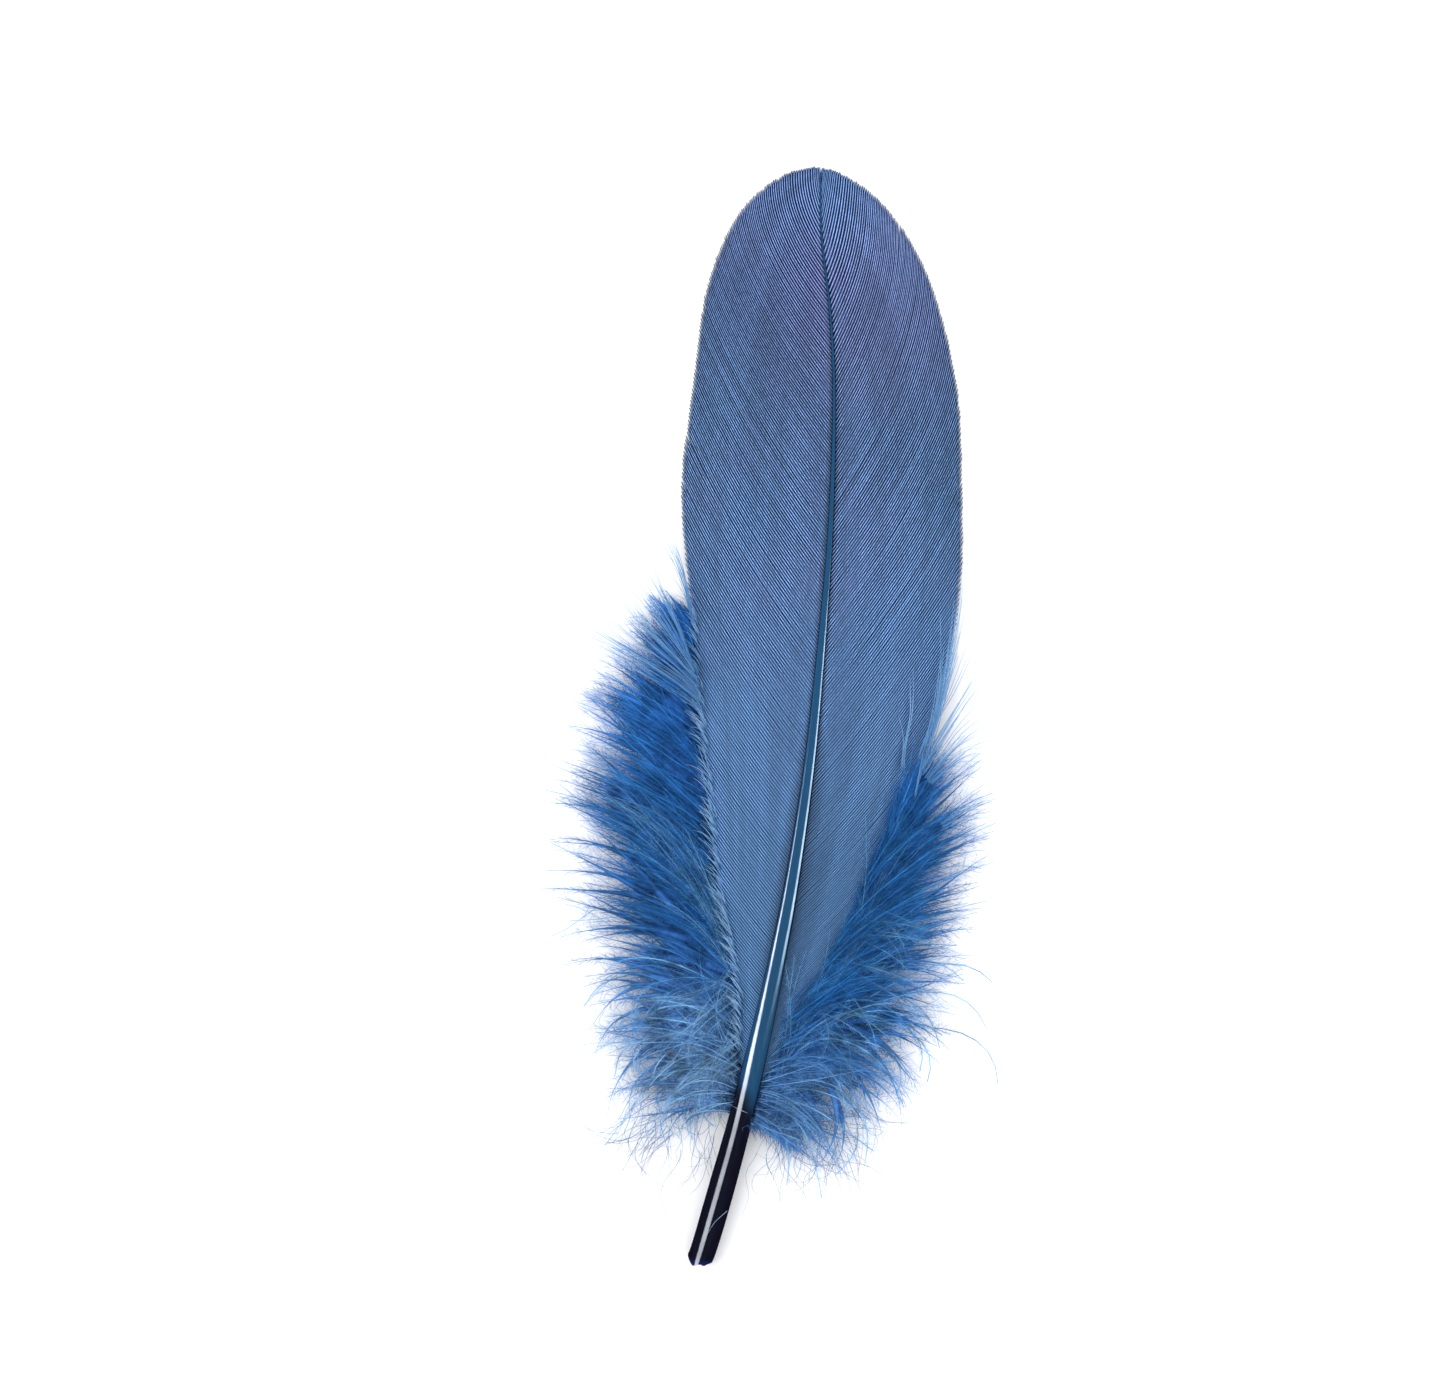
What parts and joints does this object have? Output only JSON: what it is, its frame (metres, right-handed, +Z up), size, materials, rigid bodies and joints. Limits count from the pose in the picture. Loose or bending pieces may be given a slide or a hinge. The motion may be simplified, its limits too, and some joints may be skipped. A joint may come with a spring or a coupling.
{
  "type": "goose feather",
  "caption": "Dyed blue goose feather lying flat: curved glossy quill, smooth vane on each side and loose down at its foot.",
  "frame": {"origin": "under the middle of the feather's box, on the surface it lies on", "axes": "+Y from the quill's cut end to the tip, +Z up out of the outer face of the feather, +X to its right seen from above"},
  "size_m": [0.0742, 0.1804, 0.0079],
  "materials": {
    "quill": "clear glossy keratin, dyed near black navy at the quill and teal along the rachis",
    "vane": "fine parallel barbs with a soft satin sheen, dyed denim blue",
    "down": "loose fluffy barbs, dyed a deeper blue with pale strands"
  },
  "bodies": {
    "root": {"shaft": "quill", "vane_left": "vane", "vane_right": "vane", "down_left": "down", "down_right": "down"}
  },
  "joints": []
}
